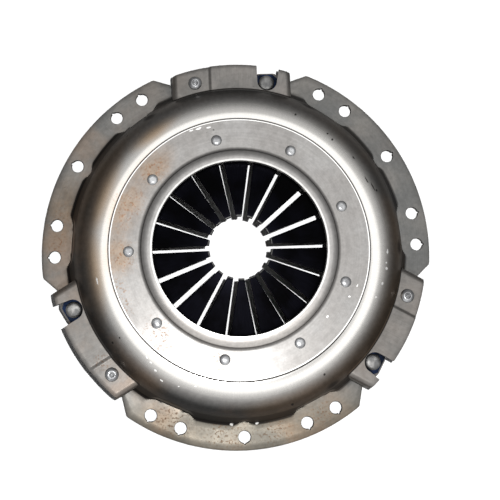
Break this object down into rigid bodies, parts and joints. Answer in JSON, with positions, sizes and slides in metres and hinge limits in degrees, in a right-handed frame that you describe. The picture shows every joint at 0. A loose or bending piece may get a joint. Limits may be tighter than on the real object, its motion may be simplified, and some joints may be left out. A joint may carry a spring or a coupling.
{
  "type": "clutch pressure plate",
  "caption": "Diaphragm-spring clutch pressure plate: pressed steel cover, slit coned spring on riveted fulcrum rings, and a cast plate that slides on leaf straps.",
  "frame": {"origin": "centre of the bolt circle on the cover's mounting face", "axes": "+Z along the clutch axis from the flywheel to the gearbox; +Y through one lobe of the cover"},
  "size_m": [0.2718, 0.2644, 0.0422],
  "materials": {
    "pressed_steel": "bare oiled pressed steel with light rust speckle",
    "spring_steel": "blue-black tempered spring steel",
    "cast_iron": "grey cast iron, friction face ground",
    "ring_wire": "drawn steel wire",
    "strap_steel": "blued spring steel strip",
    "plated_rivet": "bright zinc-plated rivet"
  },
  "bodies": {
    "cover": {"cover": "pressed_steel", "diaphragm_spring": "spring_steel", "fulcrum_ring_upper": "ring_wire", "fulcrum_ring_lower": "ring_wire", "pivot_rivet_1": "plated_rivet", "pivot_rivet_2": "plated_rivet", "pivot_rivet_3": "plated_rivet", "pivot_rivet_4": "plated_rivet", "pivot_rivet_5": "plated_rivet", "pivot_rivet_6": "plated_rivet", "pivot_rivet_7": "plated_rivet", "pivot_rivet_8": "plated_rivet", "pivot_rivet_9": "plated_rivet", "cover_strap_rivet_1": "plated_rivet", "cover_strap_rivet_2": "plated_rivet", "cover_strap_rivet_3": "plated_rivet", "strap_leaf_a_1": "strap_steel", "strap_leaf_b_1": "strap_steel", "strap_leaf_c_1": "strap_steel", "strap_leaf_a_2": "strap_steel", "strap_leaf_b_2": "strap_steel", "strap_leaf_c_2": "strap_steel", "strap_leaf_a_3": "strap_steel", "strap_leaf_b_3": "strap_steel", "strap_leaf_c_3": "strap_steel"},
    "pressure_plate": {"pressure_plate": "cast_iron", "lug_rivet_1": "plated_rivet", "lug_rivet_2": "plated_rivet", "lug_rivet_3": "plated_rivet"}
  },
  "joints": [
    {"name": "plate_travel", "type": "slide", "parent": "cover", "child": "pressure_plate", "axis": [0, 0, 1], "range_m": [0, 0.0055], "stiffness_N_per_m": 20000, "deforming": ["diaphragm_spring", "strap_leaf_a_1", "strap_leaf_b_1", "strap_leaf_c_1", "strap_leaf_a_2", "strap_leaf_b_2", "strap_leaf_c_2", "strap_leaf_a_3", "strap_leaf_b_3", "strap_leaf_c_3"]}
  ]
}
